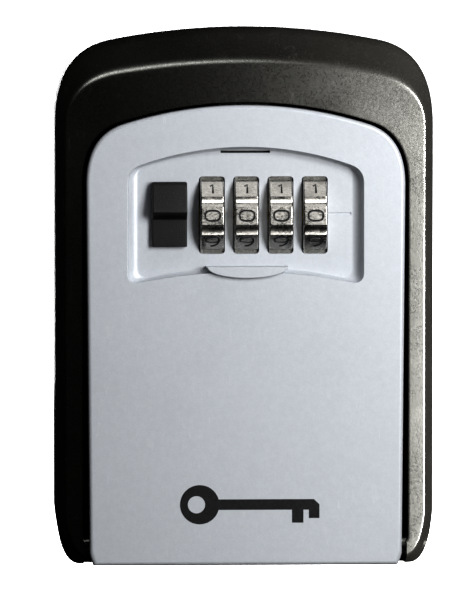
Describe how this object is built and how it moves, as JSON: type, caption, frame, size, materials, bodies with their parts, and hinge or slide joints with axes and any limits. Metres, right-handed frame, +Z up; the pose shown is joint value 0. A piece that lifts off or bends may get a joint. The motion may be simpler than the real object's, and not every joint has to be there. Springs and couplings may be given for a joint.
{
  "type": "key lock box",
  "caption": "Wall-mounted combination key box with an arched case, a drop-down door, number dials and a thumb release.",
  "frame": {"origin": "centre of the back face, on the wall plane, half way up the case", "axes": "+Z up the box, +Y out of the back towards the wall, so the door and dials face -Y, and +X to the right seen from the front"},
  "size_m": [0.083, 0.0339, 0.118],
  "materials": {
    "case_paint": "satin charcoal powder coat on die-cast zinc",
    "door_paint": "fine satin silver-grey metallic paint on die-cast zinc",
    "dial_metal": "satin nickel-plated zinc with engraved black digits",
    "button_black": "grainy matte black",
    "plated_steel": "zinc-plated pressed steel",
    "spring_steel": "bright spring wire and strip",
    "sleeve_brass": "turned brass",
    "cover_plastic": "moulded black, light grain",
    "lever_plastic": "moulded red",
    "screw_steel": "dark zinc-plated steel"
  },
  "bodies": {
    "root": {"case": "case_paint", "strike_plate": "plated_steel", "strike_screw_1": "screw_steel", "strike_screw_2": "screw_steel", "hinge_pin": "plated_steel"},
    "door": {"door_panel": "door_paint", "door_back_cover": "cover_plastic", "cover_screw_1": "screw_steel", "cover_screw_2": "screw_steel", "cover_screw_3": "screw_steel", "cover_screw_4": "screw_steel", "detent_spring": "spring_steel", "detent_screw_1": "screw_steel", "detent_screw_2": "screw_steel", "dial_shaft": "plated_steel", "shaft_clip": "spring_steel", "latch_spring_left": "spring_steel", "latch_spring_right": "spring_steel", "reset_spring": "spring_steel"},
    "release": {"release_button": "button_black", "latch_plate": "plated_steel", "latch_screw": "screw_steel"},
    "reset": {"reset_lever": "lever_plastic"},
    "dial_wheel_1": {"dial_1": "dial_metal"},
    "code_wheel_1": {"code_sleeve_1": "sleeve_brass"},
    "dial_wheel_2": {"dial_2": "dial_metal"},
    "code_wheel_2": {"code_sleeve_2": "sleeve_brass"},
    "dial_wheel_3": {"dial_3": "dial_metal"},
    "code_wheel_3": {"code_sleeve_3": "sleeve_brass"},
    "dial_wheel_4": {"dial_4": "dial_metal"},
    "code_wheel_4": {"code_sleeve_4": "sleeve_brass"}
  },
  "joints": [
    {"name": "door_hinge", "type": "hinge", "parent": "root", "child": "door", "pos_m": [0, -0.027, -0.0545], "axis": [1, 0, 0], "range_deg": [0, 105]},
    {"name": "release_slide", "type": "slide", "parent": "door", "child": "release", "axis": [0, 0, -1], "range_m": [0, 0.0045], "stiffness_N_per_m": 400, "springref_m": -0.004, "deforming": ["latch_spring_left", "latch_spring_right"]},
    {"name": "reset_slide", "type": "slide", "parent": "door", "child": "reset", "axis": [1, 0, 0], "range_m": [0, 0.001], "stiffness_N_per_m": 600, "springref_m": -0.0015, "deforming": ["reset_spring"]},
    {"name": "dial_1_turn", "type": "hinge", "parent": "door", "child": "dial_wheel_1", "pos_m": [-0.0073, -0.024, 0.0178], "axis": [1, 0, 0], "continuous": true},
    {"name": "code_1_turn", "type": "hinge", "parent": "reset", "child": "code_wheel_1", "pos_m": [-0.0073, -0.024, 0.0178], "axis": [1, 0, 0], "continuous": true},
    {"name": "dial_2_turn", "type": "hinge", "parent": "door", "child": "dial_wheel_2", "pos_m": [0.0002, -0.024, 0.0178], "axis": [1, 0, 0], "continuous": true},
    {"name": "code_2_turn", "type": "hinge", "parent": "reset", "child": "code_wheel_2", "pos_m": [0.0002, -0.024, 0.0178], "axis": [1, 0, 0], "continuous": true},
    {"name": "dial_3_turn", "type": "hinge", "parent": "door", "child": "dial_wheel_3", "pos_m": [0.0077, -0.024, 0.0178], "axis": [1, 0, 0], "continuous": true},
    {"name": "code_3_turn", "type": "hinge", "parent": "reset", "child": "code_wheel_3", "pos_m": [0.0077, -0.024, 0.0178], "axis": [1, 0, 0], "continuous": true},
    {"name": "dial_4_turn", "type": "hinge", "parent": "door", "child": "dial_wheel_4", "pos_m": [0.0152, -0.024, 0.0178], "axis": [1, 0, 0], "continuous": true},
    {"name": "code_4_turn", "type": "hinge", "parent": "reset", "child": "code_wheel_4", "pos_m": [0.0152, -0.024, 0.0178], "axis": [1, 0, 0], "continuous": true}
  ],
  "couplings": [
    {"joint": "code_1_turn", "follows": "dial_1_turn", "ratio": 1},
    {"joint": "code_2_turn", "follows": "dial_2_turn", "ratio": 1},
    {"joint": "code_3_turn", "follows": "dial_3_turn", "ratio": 1},
    {"joint": "code_4_turn", "follows": "dial_4_turn", "ratio": 1}
  ]
}
